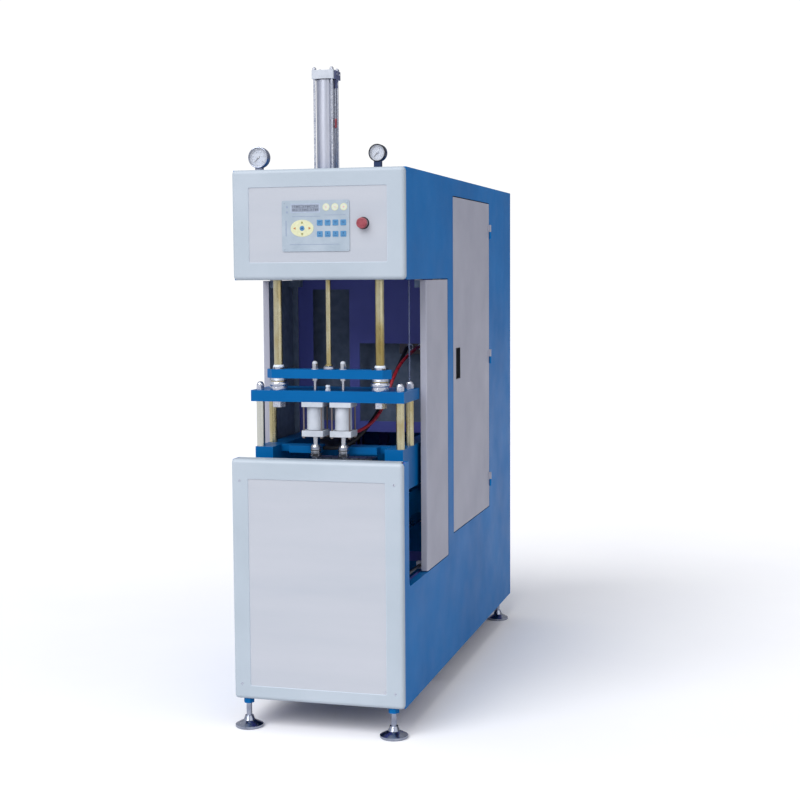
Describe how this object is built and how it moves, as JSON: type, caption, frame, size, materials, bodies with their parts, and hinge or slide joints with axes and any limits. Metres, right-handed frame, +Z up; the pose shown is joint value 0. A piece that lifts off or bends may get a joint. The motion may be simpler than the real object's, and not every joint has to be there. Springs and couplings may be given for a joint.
{
  "type": "blow moulding machine",
  "caption": "Free-standing semi-automatic stretch blow moulding press: long blue casing, pale front covers, open press bay with crosshead and clamp, guard and cabinet doors.",
  "frame": {"origin": "on the floor under the centre of the machine's overall width and length", "axes": "+Z up, -Y towards the operator's end with the control panel, +X to the right as the operator faces the machine"},
  "size_m": [0.6496, 1.9659, 2.342],
  "materials": {
    "casing_blue": "satin blue baked paint on folded sheet",
    "frame_blue": "dark blue paint on welded tube",
    "machine_blue": "bright blue enamel on machined plates",
    "cover_paint": "pale blue-grey powder coat",
    "inset_paint": "pale grey fine-textured powder coat",
    "door_grey": "mid grey powder coat",
    "ground_steel": "ground steel",
    "passivated_steel": "yellow passivated steel rods",
    "cylinder_white": "off-white lacquer on cylinders",
    "anodised": "clear anodised aluminium",
    "chrome": "bright chrome plate",
    "zinc_plate": "bright zinc plate",
    "black_plastic": "moulded black plastic",
    "keypad_film": "screened polyester film",
    "red_plastic": "glossy red plastic",
    "dial_case": "gauge case with white dial",
    "blackened_steel": "oil-blackened steel bar",
    "hose_red": "red polyurethane air hose",
    "hose_black": "black rubber air hose",
    "tube_clear": "translucent nylon tube"
  },
  "bodies": {
    "machine": {"frame_posts": "frame_blue", "frame_rails": "frame_blue", "frame_crossbars": "frame_blue", "side_panel_left": "casing_blue", "side_panel_right": "casing_blue", "roof_panel": "casing_blue", "rear_panel": "casing_blue", "chamber_back_wall": "frame_blue", "head_cap": "cover_paint", "head_front_panel": "inset_paint", "base_cap": "cover_paint", "base_front_panel": "inset_paint", "control_keypad": "keypad_film", "stop_button_socket": "black_plastic", "guard_rails": "blackened_steel", "hinge_pins": "zinc_plate", "press_beam": "machine_blue", "guide_rods": "passivated_steel", "plate_nuts": "zinc_plate", "pillars": "passivated_steel", "sealing_plate": "machine_blue", "stretch_cylinder_caps": "cylinder_white", "stretch_cylinder_barrel": "anodised", "stretch_cylinder_tie_rods": "zinc_plate", "seal_caps": "cylinder_white", "seal_barrels": "cylinder_white", "seal_tie_rods": "zinc_plate", "bed_rails": "machine_blue", "neck_plates": "machine_blue", "front_platen": "machine_blue", "clamp_bulkhead": "machine_blue", "tie_bars": "ground_steel", "mould_front": "anodised", "clamp_cylinder": "machine_blue", "levelling_feet": "chrome", "foot_locknuts": "machine_blue", "gauge_left": "dial_case", "gauge_right": "dial_case", "air_manifold": "anodised", "air_hose_red": "hose_red", "air_hose_black": "hose_black", "air_tube_clear": "tube_clear"},
    "press_head": {"crosshead": "machine_blue", "guide_bushes": "zinc_plate", "stretch_rods": "ground_steel", "piston_rod": "passivated_steel"},
    "nozzle_left_unit": {"nozzle_left": "ground_steel"},
    "nozzle_right_unit": {"nozzle_right": "ground_steel"},
    "clamp_unit": {"moving_platen": "machine_blue", "mould_rear": "anodised", "clamp_rod": "chrome"},
    "guard_left": {"guard_door_left": "door_grey"},
    "guard_right": {"guard_door_right": "door_grey"},
    "cabinet_door_left": {"tall_door_left": "door_grey", "door_pull_left": "black_plastic"},
    "cabinet_door_right": {"tall_door_right": "door_grey", "door_pull_right": "black_plastic"},
    "stop_push": {"stop_button": "red_plastic"},
    "needle_left": {"pointer_left": "black_plastic"},
    "needle_right": {"pointer_right": "black_plastic"}
  },
  "joints": [
    {"name": "press_head_slide", "type": "slide", "parent": "machine", "child": "press_head", "axis": [0, 0, 1], "range_m": [0, 0.28]},
    {"name": "nozzle_left_slide", "type": "slide", "parent": "machine", "child": "nozzle_left_unit", "axis": [0, 0, 1], "range_m": [0, 0.028]},
    {"name": "nozzle_right_slide", "type": "slide", "parent": "machine", "child": "nozzle_right_unit", "axis": [0, 0, 1], "range_m": [0, 0.028]},
    {"name": "mould_clamp_slide", "type": "slide", "parent": "machine", "child": "clamp_unit", "axis": [0, -1, 0], "range_m": [0, 0.1497]},
    {"name": "guard_left_slide", "type": "slide", "parent": "machine", "child": "guard_left", "axis": [0, -1, 0], "range_m": [0, 0.25]},
    {"name": "guard_right_slide", "type": "slide", "parent": "machine", "child": "guard_right", "axis": [0, -1, 0], "range_m": [0, 0.25]},
    {"name": "cabinet_left_hinge", "type": "hinge", "parent": "machine", "child": "cabinet_door_left", "pos_m": [-0.32, 0.4985, 1.258], "axis": [0, 0, -1], "range_deg": [0, 110]},
    {"name": "cabinet_right_hinge", "type": "hinge", "parent": "machine", "child": "cabinet_door_right", "pos_m": [0.32, 0.4985, 1.258], "axis": [0, 0, 1], "range_deg": [0, 110]},
    {"name": "stop_button_push", "type": "slide", "parent": "machine", "child": "stop_push", "axis": [0, 1, 0], "range_m": [0, 0.006], "stiffness_N_per_m": 400},
    {"name": "gauge_left_needle", "type": "hinge", "parent": "machine", "child": "needle_left", "pos_m": [-0.231, -0.86, 2.032], "axis": [0, 1, 0], "range_deg": [0, 270]},
    {"name": "gauge_right_needle", "type": "hinge", "parent": "machine", "child": "needle_right", "pos_m": [0.205, -0.86, 2.037], "axis": [0, 1, 0], "range_deg": [0, 270]}
  ],
  "couplings": [
    {"joint": "nozzle_right_slide", "follows": "nozzle_left_slide", "ratio": 1}
  ]
}
